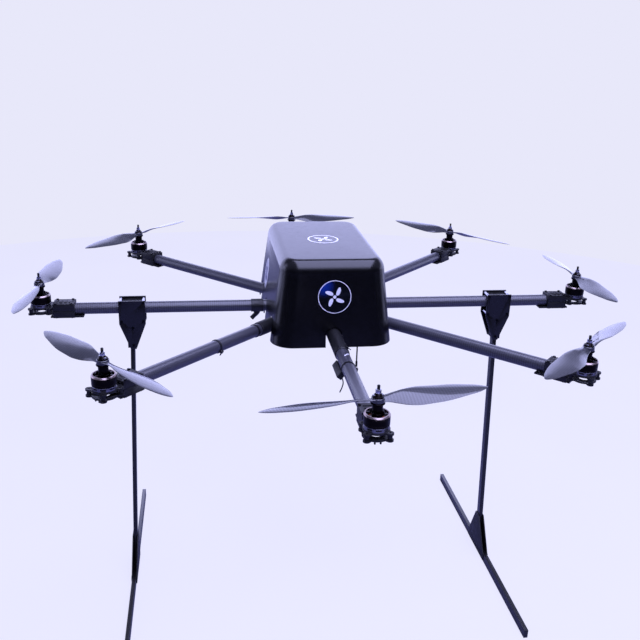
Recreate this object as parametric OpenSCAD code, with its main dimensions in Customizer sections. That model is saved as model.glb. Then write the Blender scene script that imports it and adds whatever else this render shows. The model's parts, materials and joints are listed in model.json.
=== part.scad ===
// Eight-arm multirotor with a moulded lift-off canopy and skid landing gear.
// Millimetres. +Z is up, the front is towards -Y, and the origin is on the
// ground under the middle of the airframe.

/* [Airframe] */
// Distance from the centre to each motor's axis
arm_reach = 600; // [580:10:660]
// Height of the arm tubes' centre line above the ground
arm_z = 682; // [640:2:720]
// Outside diameter of the arm tubes
tube_d = 25; // [24:0.5:26]
// Wall of the arm tubes
tube_wall = 1.5; // [1:0.5:2]
// Width of the centre plates
plate_w = 208; // [200:2:216]
// Length of the centre plates, front to rear
plate_l = 296; // [290:2:310]
// Thickness of the centre plates
plate_t = 2.5; // [2:0.5:3]

/* [Canopy] */
// Width of the canopy at its lower edge
canopy_w = 250; // [244:2:260]
// Length of the canopy at its lower edge
canopy_l = 392; // [380:2:400]
// Height of the canopy
canopy_h = 176; // [170:2:190]
// How far each side leans in from the lower edge to the top
canopy_lean = 18; // [12:1:22]
// Wall of the canopy
canopy_wall = 2.2; // [1.5:0.1:3]

/* [Propellers] */
// Diameter of each propeller
prop_d = 381; // [340:1:400]
// Pitch of the blades: the advance in one turn
prop_pitch = 152; // [100:1:180]
// Widest chord of a blade
blade_chord = 40; // [30:1:42]

/* [Motors] */
// Diameter of the motor bell
motor_d = 42; // [42:0.5:43]
// Height of the motor from its seat to the top of the bell
motor_h = 26; // [26:0.5:28]
// Height of the shaft tip above the arm's centre line
tip_h = 80; // [80:1:84]

/* [Landing gear] */
// Distance from the centre to the middle of each leg bracket
bracket_x = 411; // [400:1:420]
// Distance from the centre to the middle of each skid
skid_x = 436; // [430:1:445]
// Length of each skid
skid_l = 660; // [600:10:720]
// Width of the leg and skid section
bar_w = 9; // [8:0.5:10]
// Depth of the leg section and height of the skid
bar_h = 20; // [18:1:22]

/* [Battery] */
// Width of the battery
battery_w = 76; // [70:1:78]
// Length of the battery
battery_l = 188; // [160:1:190]
// Height of the battery
battery_h = 64; // [50:1:70]

/* [Hidden] */
$fn = 48;
arms = ["front", "front_right", "right", "rear_right", "rear", "rear_left", "left", "front_left"];
// Resting yaw of each propeller, in degrees from +X
prop_yaw = [8, 44, 90, 132, 179, 52, 85, 130];
arm_parts = ["arm_tube", "motor_mount", "motor_stator", "motor_bell", "propeller"];

last = len(arms) - 1;
tube_r = tube_d / 2;
fit = 0.05;             // radial clearance of a running or clamped fit
seam = 0.05;            // space between touching pieces of one sub-assembly
m3_r = 1.5;             // M3 shank
m3_hole = 1.6;          // M3 clearance hole
gap = 0.3;              // space between neighbouring bodies

// Centre stack, measured upwards from the ground
clamp_h = tube_d + 6;
lower_top = arm_z - clamp_h / 2;
lower_z = lower_top - plate_t;
upper_z = arm_z + clamp_h / 2;
upper_top = upper_z + plate_t;
tray_z = upper_top + 35;
tray_t = 2;
tray_w = 96;
tray_l = 300;
plate_cut = 40;         // corner cut of the centre plates
tube_start = 40;        // the tubes stop short of one another at the centre
clamp_at = [59, 96];    // hub clamps along each arm
clamp_l = 14;
clamp_w = 40;
clamp_bolt = 16.5;
payload_x = 35;         // payload bolt pattern, half spacings
payload_y = 110;
antenna_at = [60, -140];
standoffs = [for (x = [-44, 44]) for (y = [-130, 0, 130]) [x, y]];
posts = [for (x = [-62, 62]) for (y = [-132, 132]) [x, y]];

// Canopy
canopy_z = arm_z - 25;
canopy_top = canopy_z + canopy_h;
plan_r = 45;            // corners seen from above
edge_r = 25;            // edge between the top and the sides

// Motor, measured upwards from the arm's centre line
seat_z = 8;
bell_top = seat_z + motor_h;
base_h = 7;
bell_low = seat_z + base_h + 0.5;
prop_z = tip_h - 28;    // lower face of the propeller hub
prop_t = 8;
shaft_r = 2.5;
bell_r = motor_d / 2;
stator_r = bell_r - 4;
prop_screw = 6;
mount_in = 26;          // the tube clamp starts this far inboard of the motor
mount_l = 44;
mount_w = 34;

// Landing gear
leg_in = 45;            // the leg's top end, below the arm's centre line
leg_lean = atan((skid_x - bracket_x - 3) / (arm_z - 90));
cheek_gap = 31;
cheek_t = 3;
spacers = [[-24, 16], [24, 16], [-23, -27], [23, -27]];
leg_bolts = [[0, -42], [0, -82]];
gusset_gap = 0.1;       // gusset to leg

function arm_angle(i) = 45 * i - 90;
function ease(t, a, b) = let (s = min(1, max(0, (t - a) / (b - a)))) s * s * (3 - 2 * s);

module at_motor(i) rotate([0, 0, arm_angle(i)]) translate([arm_reach, 0, arm_z]) children();
module along_x(x0, x1) translate([x0, 0, 0]) rotate([0, 90, 0]) linear_extrude(x1 - x0) children();
module box(lo, hi) translate(lo) cube(hi - lo);
module pin(r, z0, z1) translate([0, 0, z0]) cylinder(r = r, h = z1 - z0);
module both_sides() { children(); mirror([0, 1, 0]) children(); }

// Rounded rectangle with its corners as arcs
module rounded(w, l, r) {
    square([w - 2 * r, l], center = true);
    square([w, l - 2 * r], center = true);
    for (x = [-1, 1]) for (y = [-1, 1]) translate([x * (w / 2 - r), y * (l / 2 - r)]) circle(r);
}

// ---- Arms ----

module arm_tube(i) color("dimgray") rotate([0, 0, arm_angle(i)]) translate([0, 0, arm_z])
    along_x(tube_start, arm_reach - mount_in - 4) difference() {
        circle(tube_r);
        circle(tube_r - tube_wall);
    }

// Outline of the motor seat: a disc, four screw lugs and the neck to the tube clamp
module seat_outline(neck) {
    circle(22);
    for (a = [45 : 90 : 315]) rotate(a) {
        translate([0, -6]) square([25.5, 12]);
        translate([25.5, 0]) circle(6);
    }
    translate([-mount_in - 4, -neck / 2]) square([mount_in, neck]);
}

// One half of the moulded mount, with its clamp jaw from z = 0 up
module mount_half(seat_lo, seat_hi, bolt_r) difference() {
    union() {
        translate([0, 0, seat_lo]) linear_extrude(seat_hi - seat_lo) seat_outline(mount_w);
        box([-mount_in - mount_l, -mount_w / 2, 0.4], [-mount_in, mount_w / 2, clamp_h / 2]);
        children();
    }
    along_x(-mount_in - mount_l - 1, -mount_in + 1) circle(tube_r + fit);
    pin(9, seat_lo - 1, seat_hi + 1);
    for (a = [45 : 90 : 315]) rotate(a) translate([25.5, 0]) pin(bolt_r, seat_lo - 1, seat_hi + 1);
    both_sides() for (x = [-mount_in - 38, -mount_in - 6])
        translate([x, 14.6, 0]) pin(m3_hole, -1, clamp_h / 2 + 2);
}

module motor_mount(i) color([0.09, 0.09, 0.1]) at_motor(i) {
    mount_half(seat_z - 3, seat_z, m3_hole)
        for (k = [0 : 3]) box([-mount_in - 38 + 10 * k, -9, clamp_h / 2 - 0.1],
                              [-mount_in - 33 + 10 * k, 9, clamp_h / 2 + 1.2]);
    mirror([0, 0, 1]) mount_half(3, 6, 2.2)
        box([-88, -15, tube_r + 0.1], [-20, 15, clamp_h / 2]);
    for (a = [45 : 90 : 315]) rotate(a) translate([25.5, 0]) difference() {
        pin(4, -3 + seam, seat_z - 3 - seam);
        pin(m3_hole, -4, seat_z);
    }
}

// ---- Motors ----

module motor_stator(i) at_motor(i) {
    color("silver") difference() {
        union() {
            pin(bell_r - 0.5, seat_z, seat_z + base_h);
            pin(6, seat_z, bell_top - 5);
        }
        difference() {
            pin(bell_r - 3, seat_z + 2, seat_z + base_h + 1);
            pin(6, seat_z, bell_top);
        }
        for (a = [0 : 45 : 315]) rotate(a) box([12, -4.5, seat_z + 3], [bell_r + 1, 4.5, seat_z + 5.6]);
        pin(4.5, seat_z - 1, bell_top);
    }
    color("gainsboro") for (z = [seat_z + 1, bell_top - 9]) difference() {
        pin(4.5 - seam, z, z + 4);
        pin(shaft_r + fit, z - 1, z + 5);
    }
    color("darkslategray") difference() {
        pin(stator_r, bell_low + 2.5, bell_top - 5.5);
        pin(6 + seam, bell_low, bell_top);
        for (a = [15 : 30 : 345]) rotate(a) box([9, -1.6, bell_low], [stator_r - 1.4, 1.6, bell_top]);
    }
    color("sienna") for (z = [bell_low, bell_top - 5.5 + seam]) difference() {
        pin(stator_r - 2, z, z + 2.4);
        pin(7.5, z - 1, z + 3.4);
    }
}

// Four-lobed outline of the adapter's foot
module adapter_foot() {
    circle(9.5);
    for (a = [45 : 90 : 315]) rotate(a) {
        translate([0, -2.6]) square([10, 5.2]);
        translate([10, 0]) circle(2.6);
    }
}

module motor_bell(i) at_motor(i) {
    color([0.13, 0.13, 0.14]) difference() {
        pin(bell_r, bell_low, bell_top);
        pin(bell_r - 1.8, bell_low - 1, bell_top - 2.5);
        for (a = [0 : 60 : 300]) rotate(a) intersection() {
            rotate_extrude() translate([8.5, bell_top - 4]) square([bell_r - 11, 5]);
            rotate(30) translate([0, 0, bell_top - 5]) linear_extrude(7)
                polygon([[2.5, 1.4], [40, 23 - 2], [40, -21], [2.5, -1.4]]);
        }
        pin(shaft_r + seam, 0, tip_h);
    }
    color("darkgray") difference() {
        pin(bell_r - 1.8 - seam, bell_low + 1.5, bell_top - 4.5);
        pin(bell_r - 3.4, bell_low, bell_top);
    }
    color("dimgray") pin(shaft_r, seat_z + 1.2, tip_h);
    color([0.1, 0.1, 0.1]) difference() {
        union() {
            translate([0, 0, bell_top + seam]) linear_extrude(2.5) adapter_foot();
            pin(8.5, bell_top + 2, prop_z - 3);
            pin(11.5, prop_z - 3, prop_z - seam);
        }
        pin(shaft_r + seam, 0, tip_h);
        for (x = [-prop_screw, prop_screw]) rotate(prop_yaw[i] - arm_angle(i))
            translate([x, 0, 0]) pin(1.3, prop_z - 7, prop_z + 1);
    }
    color([0.12, 0.12, 0.12]) difference() {
        union() {
            pin(9, prop_z + prop_t + seam, prop_z + prop_t + 2.5);
            translate([0, 0, prop_z + prop_t + 2.4]) cylinder(r1 = 7.2, r2 = 4.6, h = 4.5);
        }
        pin(shaft_r + seam, 0, tip_h);
        for (x = [-prop_screw, prop_screw]) rotate(prop_yaw[i] - arm_angle(i))
            translate([x, 0, prop_z + prop_t]) {
                pin(1.3, -1, 3);
                pin(2.7, 2, 9);
            }
    }
    color("silver") for (x = [-prop_screw, prop_screw]) rotate(prop_yaw[i] - arm_angle(i))
        translate([x, 0, prop_z]) {
            pin(1.25, -6, prop_t + 3);
            pin(2.6, prop_t + 2 + seam, prop_t + 4.5);
        }
    color("silver") translate([0, 0, prop_z + prop_t + 7]) difference() {
        cylinder(r = 4.7, h = 6, $fn = 6);
        pin(shaft_r + seam, -1, 7);
    }
}

// ---- Propellers ----

// Leading and trailing edges of a blade as a share of its chord, t = radius / tip radius
function lead(t) = 0.22 + 0.27 * ease(t, 0.05, 0.36) - 0.26 * ease(t, 0.62, 1.02);
function trail(t) = -0.20 - 0.33 * ease(t, 0.05, 0.32) + 0.46 * ease(t, 0.46, 1.02);
function twist(r) = min(30, atan(prop_pitch / (2 * PI * r)));
function blade_ring(r) = let (
    t = 2 * r / prop_d, a = lead(t) * blade_chord, b = trail(t) * blade_chord,
    half = 2.2 - 1.5 * ease(t, 0.05, 0.9), camber = 0.05 * (a - b), w = twist(r))
    [for (k = [0 : 11]) let (
        c = cos(30 * k), y = (a + b) / 2 + c * (a - b) / 2,
        z = camber * (1 - c * c) + half * sin(30 * k) * (0.75 + 0.25 * c))
        [r, y * cos(w) - z * sin(w), y * sin(w) + z * cos(w)]];

module blade() {
    steps = 14;
    from = 7;
    rings = [for (s = [0 : steps]) blade_ring(from + (prop_d / 2 - from) * s / steps)];
    polyhedron([for (ring = rings) each ring], concat(
        [[for (k = [0 : 11]) k]],
        [for (s = [0 : steps - 1]) for (k = [0 : 11]) each let (
            p = 12 * s + k, q = 12 * s + (k + 1) % 12)
            [[p, q + 12, q], [p, p + 12, q + 12]]],
        [[for (k = [0 : 11]) 12 * steps + 11 - k]]));
}

// Even arms turn anticlockwise seen from above, and odd arms turn clockwise
module propeller(i) color("slategray") at_motor(i) rotate(prop_yaw[i] - arm_angle(i))
    translate([0, 0, prop_z]) difference() {
        union() {
            pin(10.5, 0, prop_t);
            for (side = [0, 180]) rotate(side) mirror([0, i % 2, 0])
                translate([0, 0, prop_t / 2]) blade();
        }
        pin(shaft_r + fit, -9, prop_t + 9);
        pin(12.5, -9, 0);
        pin(12.5, prop_t, prop_t + 9);
        for (x = [-prop_screw, prop_screw]) translate([x, 0, 0]) pin(1.35, -9, prop_t + 9);
    }

// ---- Centre frame ----

module centre_plate(z) translate([0, 0, z]) difference() {
    linear_extrude(plate_t) difference() {
        intersection() {
            square([plate_w, plate_l], center = true);
            rotate(45) square((plate_w + plate_l - 2 * plate_cut) / sqrt(2), center = true);
        }
        for (a = [22.5 : 45 : 337.5]) rotate(a) translate([84, 0]) circle(9);
        circle(24);
    }
    for (i = [0 : last]) rotate(arm_angle(i)) for (x = clamp_at) for (y = [-clamp_bolt, clamp_bolt])
        translate([x, y, 0]) pin(m3_hole, -1, plate_t + 1);
}

module lower_plate() color([0.1, 0.1, 0.11]) difference() {
    centre_plate(lower_z);
    for (x = [-payload_x, payload_x]) for (y = [-payload_y, payload_y])
        translate([x, y, lower_z]) pin(m3_hole, -1, plate_t + 1);
    translate([antenna_at[0], antenna_at[1], lower_z]) pin(3, -1, plate_t + 1);
}

module upper_plate() color([0.1, 0.1, 0.11]) difference() {
    centre_plate(upper_z);
    for (p = concat(standoffs, posts)) translate([p[0], p[1], upper_z]) pin(m3_hole, -1, plate_t + 1);
}

module battery_tray() color([0.14, 0.14, 0.15]) difference() {
    translate([0, 0, tray_z]) linear_extrude(tray_t) rounded(tray_w, tray_l, 12);
    for (x = [-1, 1]) for (y = [-50, 50])
        translate([x * (battery_w / 2 + 2.2), y, tray_z]) box([-1.6, -11.5, -1], [1.6, 11.5, tray_t + 1]);
    for (p = standoffs) translate([p[0], p[1], tray_z]) pin(m3_hole, -1, tray_t + 1);
}

module hub_clamps() color([0.16, 0.16, 0.17]) translate([0, 0, arm_z])
    for (i = [0 : last]) rotate(arm_angle(i)) for (x = clamp_at) for (side = [0, 1]) mirror([0, 0, side])
        difference() {
            box([x - clamp_l / 2, -clamp_w / 2, 0.4], [x + clamp_l / 2, clamp_w / 2, clamp_h / 2]);
            along_x(x - clamp_l, x + clamp_l) circle(tube_r + fit);
            both_sides() translate([x, clamp_bolt, 0]) pin(m3_hole, -1, clamp_h);
        }

module bolt(z0, z1, head) {
    pin(m3_r, z0, z1);
    pin(2.75, z1, z1 + head);
}

module screws_and_standoffs() color("silver") {
    for (i = [0 : last]) {
        rotate(arm_angle(i)) for (x = clamp_at) for (y = [-clamp_bolt, clamp_bolt]) translate([x, y, 0])
            bolt(lower_z - 3, upper_top, 2.4);
        at_motor(i) {
            both_sides() for (x = [-mount_in - 38, -mount_in - 6]) translate([x, 14.6, 0])
                bolt(-clamp_h / 2 - 1, clamp_h / 2, 2);
            both_sides() translate([16, 4.6, 0]) pin(m3_r, -12, -6);
        }
    }
    for (p = standoffs) translate([p[0], p[1], 0]) {
        pin(3, upper_top, tray_z);
        pin(2.75, tray_z + tray_t, tray_z + tray_t + 1.8);
        pin(2.75, upper_z - 2, upper_z);
    }
}

// ---- Canopy ----

// Solid block with leaning sides and round edges, drawn in by inset on every face
module canopy_block(inset, drop) hull() {
    w = canopy_w / 2 - inset;
    l = canopy_l / 2 - inset;
    r = edge_r - inset;
    translate([0, 0, canopy_z - drop]) linear_extrude(1, $fn = 96)
        rounded(2 * w, 2 * l, plan_r - inset);
    for (x = [-1, 1]) for (y = [-1, 1])
        translate([x * (w - canopy_lean - 40 + inset), y * (l - canopy_lean - 40 + inset),
                   canopy_top - inset - r])
            rotate_extrude($fn = 64) intersection() {
                translate([15, 0]) circle(r, $fn = 32);
                square([60, 60]);
            }
}

module canopy() color([0.05, 0.05, 0.06]) difference() {
    canopy_block(0, 0);
    canopy_block(canopy_wall, 2);
    for (i = [0 : last]) rotate(arm_angle(i)) translate([90, 0, arm_z]) {
        along_x(0, 140) circle(16.5);
        box([0, -16.5, -60], [140, 16.5, 0]);
    }
}

module canopy_posts() {
    for (p = posts) translate([p[0], p[1], 0]) {
        color("silver") {
            pin(4, upper_top, canopy_top - canopy_wall - gap - 3 - seam);
            pin(m3_r, upper_z - 1, upper_top + 1);
        }
        color("gray") pin(6, canopy_top - canopy_wall - gap - 3, canopy_top - canopy_wall - gap);
    }
}

// ---- Electronics ----

module power_board() translate([0, 0, upper_top]) {
    color("darkgreen") translate([0, 0, 5 + seam]) difference() {
        linear_extrude(1.6) rounded(58, 58, 4);
        for (x = [-24, 24]) for (y = [-24, 24]) translate([x, y]) pin(m3_hole, -1, 3);
    }
    color("silver") for (x = [-24, 24]) for (y = [-24, 24]) translate([x, y, 0]) pin(3, 0, 5);
    color("gold") box([-9, -8, 6.6 + 2 * seam], [9, 8, 14]);
}

module speed_controllers() translate([0, 0, upper_top]) for (k = [0 : last]) rotate(45 * k + 22.5) {
    color("black") translate([76, 0, 4]) linear_extrude(8) rounded(48, 22, 2);
    color("silver") box([60, -8, 12 + seam], [92, 8, 13.4]);
    color("dimgray") box([70, -7, 0], [82, 7, 4 - seam]);
}

module flight_controller() translate([0, -124, tray_z + tray_t]) {
    color("dimgray") linear_extrude(4 - seam) rounded(30, 30, 3);
    color([0.2, 0.2, 0.22]) translate([0, 0, 4]) linear_extrude(14) rounded(44, 42, 4);
    color("white") for (x = [-15 : 6 : 15]) box([x - 2, -20, 18 + seam], [x + 2, -14, 21]);
}

module radio_receiver() translate([antenna_at[0], antenna_at[1], lower_top]) {
    color([0.15, 0.15, 0.16]) difference() {
        translate([0, 12, 0]) linear_extrude(12) rounded(26, 36, 2);
        pin(3, -1, 8);
    }
    color("black") {
        pin(1.5, -67, 8 - seam);
        pin(2.3, -78, -66);
    }
}

module gps_receiver() translate([0, 124, tray_z + tray_t]) {
    color("dimgray") pin(12, 0, 6 - seam);
    color("white") rotate_extrude() {
        translate([0, 6]) square([26, 8]);
        translate([0, 14]) square([23, 2.5]);
    }
}

module battery() translate([0, 0, tray_z + tray_t + 0.2]) {
    color([0.12, 0.14, 0.3]) difference() {
        linear_extrude(battery_h) rounded(battery_w, battery_l, 6);
        box([-18, -battery_l / 2 - 1, 34], [18, -battery_l / 2 + 5, 52]);
    }
    color("gold") box([-12, -battery_l / 2 - 6, 38], [12, -battery_l / 2 + 5 - seam, 48]);
}

module battery_straps() color([0.1, 0.1, 0.1]) for (y = [-50, 50]) translate([0, y, tray_z])
    difference() {
        box([-battery_w / 2 - 3, -10, -2], [battery_w / 2 + 3, 10, tray_t + battery_h + 2]);
        box([-battery_w / 2 - 1.4, -11, -0.5], [battery_w / 2 + 1.4, 11, tray_t + battery_h + 0.5]);
    }

// ---- Landing gear ----

module bracket_cheek() rotate([90, 0, 0]) linear_extrude(cheek_t) difference() {
    polygon([[-28, 20], [28, 20], [28, -32], [6, -90], [-6, -90], [-28, -32]]);
    for (p = concat(spacers, leg_bolts)) translate(p) circle(m3_hole);
}

// The leg's section, leaning outwards from the bracket down to the skid
module leg_prism(grow, z0, z1) translate([skid_x, 0, 0]) rotate([0, -leg_lean, 0])
    box([-bar_w / 2 - grow, -bar_h / 2 - grow, z0], [bar_w / 2 + grow, bar_h / 2 + grow, z1]);

module leg_bracket() translate([bracket_x, 0, arm_z]) {
    color([0.08, 0.08, 0.09]) {
        translate([0, -cheek_gap / 2 - seam, 0]) bracket_cheek();
        translate([0, cheek_gap / 2 + cheek_t + seam, 0]) bracket_cheek();
        for (side = [0, 1]) mirror([0, 0, side]) difference() {
            box([-20, -cheek_gap / 2, 0.4], [20, cheek_gap / 2, 15]);
            along_x(-21, 21) circle(tube_r + fit);
        }
        difference() {
            box([-5.8, -cheek_gap / 2, -88], [12, cheek_gap / 2, -36]);
            translate([-bracket_x, 0, -arm_z]) leg_prism(0.2, arm_z - 100, arm_z - leg_in + 0.5);
            for (p = leg_bolts) translate([0, 0, p[1]]) rotate([90, 0, 0]) pin(m3_hole, -20, 20);
        }
    }
    color("silver") {
        for (p = spacers) translate([p[0], 0, p[1]])
            rotate([90, 0, 0]) pin(3, -cheek_gap / 2, cheek_gap / 2);
        for (p = concat(spacers, leg_bolts)) both_sides()
            translate([p[0], cheek_gap / 2 + cheek_t, p[1]]) rotate([-90, 0, 0]) pin(2.6, 2 * seam, 1.8);
    }
}

module leg() color([0.1, 0.1, 0.12]) leg_prism(0, bar_h + 0.6, arm_z - leg_in);

module skid() {
    color([0.1, 0.1, 0.12]) translate([skid_x, 0, 0])
        box([-bar_w / 2, -skid_l / 2 + 4, 0], [bar_w / 2, skid_l / 2 - 4, bar_h]);
    color("black") both_sides() translate([skid_x, 0, 0])
        box([-bar_w / 2, -skid_l / 2, 0], [bar_w / 2, -skid_l / 2 + 4, bar_h]);
    color([0.12, 0.12, 0.14]) for (side = [0, 1]) translate([skid_x, 0, 0]) difference() {
        union() {
            rotate([0, -leg_lean, 0]) mirror([side, 0, 0]) translate([bar_w / 2 + gusset_gap, 0, 0])
                rotate([90, 0, 90]) linear_extrude(2)
                    polygon([[-57, bar_h - 1], [57, bar_h - 1], [12, 105], [-12, 105]]);
            mirror([side, 0, 0]) translate([bar_w / 2 + seam, 0, 0]) box([0, -57, 3], [2, 57, bar_h]);
        }
        box([-bar_w / 2 - seam, -58, 0], [bar_w / 2 + seam, 58, bar_h + seam]);
    }
}

for (i = [0 : last]) {
    arm_tube(i);
    motor_mount(i);
    motor_stator(i);
    motor_bell(i);
    propeller(i);
}
canopy();
canopy_posts();
lower_plate();
upper_plate();
battery_tray();
hub_clamps();
screws_and_standoffs();
power_board();
speed_controllers();
flight_controller();
radio_receiver();
gps_receiver();
battery();
battery_straps();
mirror([1, 0, 0]) leg_bracket();  // leg_bracket_left
leg_bracket();  // leg_bracket_right
mirror([1, 0, 0]) leg();  // leg_left
leg();  // leg_right
mirror([1, 0, 0]) skid();  // skid_left
skid();  // skid_right
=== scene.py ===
import json
import math

import bmesh
import bpy
from mathutils import Matrix, Vector


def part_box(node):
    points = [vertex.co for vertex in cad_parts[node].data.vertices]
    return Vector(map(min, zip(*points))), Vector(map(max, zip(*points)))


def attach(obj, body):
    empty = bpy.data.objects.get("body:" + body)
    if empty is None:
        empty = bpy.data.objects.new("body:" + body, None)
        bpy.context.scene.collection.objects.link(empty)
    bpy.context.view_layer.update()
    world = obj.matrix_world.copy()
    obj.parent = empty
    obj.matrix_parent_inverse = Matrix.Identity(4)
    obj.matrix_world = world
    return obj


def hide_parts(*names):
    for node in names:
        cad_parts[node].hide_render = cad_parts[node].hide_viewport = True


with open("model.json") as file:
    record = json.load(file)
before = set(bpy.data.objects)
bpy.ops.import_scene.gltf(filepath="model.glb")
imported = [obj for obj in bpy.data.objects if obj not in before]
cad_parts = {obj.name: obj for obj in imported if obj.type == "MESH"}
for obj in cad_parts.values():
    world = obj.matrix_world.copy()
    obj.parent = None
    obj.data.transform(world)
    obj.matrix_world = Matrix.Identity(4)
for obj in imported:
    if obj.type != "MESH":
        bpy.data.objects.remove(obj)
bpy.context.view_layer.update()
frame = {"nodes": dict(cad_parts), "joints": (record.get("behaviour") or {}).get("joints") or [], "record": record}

mm = 0.001  # every piece is modelled in millimetres and shrunk to metres when it is finished
print("frame loaded:", len(frame["nodes"]), "nodes")

# Where things are, read from the frame
rotorJoints = {j["name"][6:-5]: j for j in frame["joints"] if j["name"].startswith("rotor_")}
tubeLow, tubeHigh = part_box("arm_tube_right")
armHeight = (tubeLow.z + tubeHigh.z) / 2
armReach = Vector(rotorJoints["right"]["pos_m"]).xy.length / mm
tubeRadius = (tubeHigh.z - tubeLow.z) / 2 / mm

# Resting yaw of each propeller in degrees, as in the CAD model
propYaw = {"front": 8, "front_right": 44, "right": 90, "rear_right": 132,
           "rear": 179, "rear_left": 52, "left": 85, "front_left": 130}


def turnZ(degrees):
    return Matrix.Rotation(math.radians(degrees), 4, "Z")


def onArm(arm, out=0.0):
    # A place on an arm: +X outwards along the tube, z = 0 on its centre line
    at = rotorJoints[arm]["pos_m"]
    yaw = math.degrees(math.atan2(at[1], at[0]))
    return Matrix.Translation((0, 0, armHeight)) @ turnZ(yaw) @ Matrix.Translation((out * mm, 0, 0))


def onRotor(arm):
    # On a motor's axis, +X along the propeller
    at = rotorJoints[arm]["pos_m"]
    return Matrix.Translation((at[0], at[1], armHeight)) @ turnZ(propYaw[arm])


view = {"position": (-0.258, -1.662, 1.266), "yaw": 8.84, "tilt": -20.31, "roll": 1.87, "lens": 44.73}

camera = bpy.data.objects.new("camera", bpy.data.cameras.new("camera"))
bpy.context.scene.collection.objects.link(camera)
camera.data.lens = view["lens"]
camera.data.sensor_width = 36
camera.matrix_world = (Matrix.Translation(view["position"]) @ turnZ(-view["yaw"])
                       @ Matrix.Rotation(math.radians(90 + view["tilt"]), 4, "X") @ turnZ(view["roll"]))
bpy.context.scene.camera = camera
bpy.context.scene.view_settings.view_transform = "Standard"


def hexColour(code):
    channels = [int(code[k:k + 2], 16) / 255 for k in (1, 3, 5)]
    return [c / 12.92 if c <= 0.04045 else ((c + 0.055) / 1.055) ** 2.4 for c in channels] + [1.0]


def addNode(tree, kind, inputs=None, **settings):
    # One node with its settings, values and links; a node given as a value is linked by its first output
    node = tree.nodes.new("ShaderNode" + kind)
    for name, value in settings.items():
        setattr(node, name, value)
    for name, value in (inputs or {}).items():
        if isinstance(value, bpy.types.Node):
            value = value.outputs[0]
        if isinstance(value, bpy.types.NodeSocket):
            tree.links.new(value, node.inputs[name])
        else:
            node.inputs[name].default_value = value
    return node


studio = {"backdrop": "#E8E8FA", "glow": "#BCBFF4", "strength": 3.0, "lamp": "#C6C8FF"}

# Brightness of the surround by angle over the top: 0 is the horizon behind, 180 the one in front
surround = [(-180, 0.012), (-100, 0.05), (-40, 0.5), (0, 0.95), (30, 0.95), (38, 0.12), (60, 0.1),
            (90, 0.16), (130, 0.14), (158, 0.05), (180, 0.012)]


def makeWorld():
    # Soft surround: bright behind the object and dark behind the camera, with a plain pale backdrop
    world = bpy.data.worlds.new("studio")
    world.use_nodes = True
    tree = world.node_tree
    tree.nodes.clear()
    towards = addNode(tree, "SeparateXYZ", {0: addNode(tree, "TexCoord").outputs["Generated"]})
    turn = addNode(tree, "Math", {0: towards.outputs["Z"], 1: towards.outputs["Y"]}, operation="ARCTAN2")
    low, high = surround[0][0], surround[-1][0]
    level = addNode(tree, "MapRange", {"Value": turn, "From Min": math.radians(low),
                                       "From Max": math.radians(high)})
    ramp = addNode(tree, "ValToRGB", {"Fac": level})
    stops = ramp.color_ramp.elements
    while len(stops) < len(surround):
        stops.new(0.5)
    for stop, (angle, value) in zip(stops, surround):
        stop.position = (angle - low) / (high - low)
        stop.color = (value, value, value, 1)
    strength = addNode(tree, "Math", {0: ramp, 1: studio["strength"]}, operation="MULTIPLY")
    glow = addNode(tree, "Background", {"Color": hexColour(studio["glow"]), "Strength": strength})
    backdrop = addNode(tree, "Background", {"Color": hexColour(studio["backdrop"]), "Strength": 1.0})
    seen = addNode(tree, "LightPath").outputs["Is Camera Ray"]
    mixed = addNode(tree, "MixShader", {0: seen, 1: glow, 2: backdrop})
    addNode(tree, "OutputWorld", {"Surface": mixed})
    bpy.context.scene.world = world


# Three panels overhead that fade towards the front, and one at the left
softboxes = {
    "ceilingPanel": {"at": (0.6, -1.3, 3.2), "aim": (0.6, -1.3, 0), "size": (2.8, 4.0), "watts": 200},
    "ceilingFade": {"at": (0.6, -3.85, 3.2), "aim": (0.6, -3.85, 0), "size": (3.2, 1.1), "watts": 38},
    "ceilingEdge": {"at": (0.6, -5.15, 3.2), "aim": (0.6, -5.15, 0), "size": (3.6, 1.5), "watts": 22},
    "leftSide": {"at": (-3.4, 0.6, 1.9), "aim": (0, 0, 0.7), "size": (1.2, 1.6), "watts": 12},
}


def makeLights():
    for name, box in softboxes.items():
        light = bpy.data.objects.new(name, bpy.data.lights.new(name, "AREA"))
        light.data.shape = "RECTANGLE"
        light.data.size, light.data.size_y = box["size"]
        light.data.energy = box["watts"]
        light.data.color = hexColour(studio["lamp"])[:3]
        aim = Vector(box["aim"]) - Vector(box["at"])
        turned = aim.to_track_quat("-Z", "Y").to_matrix().to_4x4()
        light.matrix_world = Matrix.Translation(box["at"]) @ turned
        bpy.context.scene.collection.objects.link(light)


def surface(name, colour, roughness, metallic=0.0, coat=0.0, coatRoughness=0.03, ior=1.5):
    mat = bpy.data.materials.new(name)
    mat.use_nodes = True
    shader = mat.node_tree.nodes["Principled BSDF"]
    shader.inputs["Base Color"].default_value = hexColour(colour)
    shader.inputs["Roughness"].default_value = roughness
    shader.inputs["Metallic"].default_value = metallic
    shader.inputs["IOR"].default_value = ior
    shader.inputs["Coat Weight"].default_value = coat
    shader.inputs["Coat Roughness"].default_value = coatRoughness
    return mat, mat.node_tree, shader


laminate = {"radius": 3.4, "shade": "#7C7CA2", "pale": "#E6E6F9", "paler": "#EAEAFB", "glow": 0.93}


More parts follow.
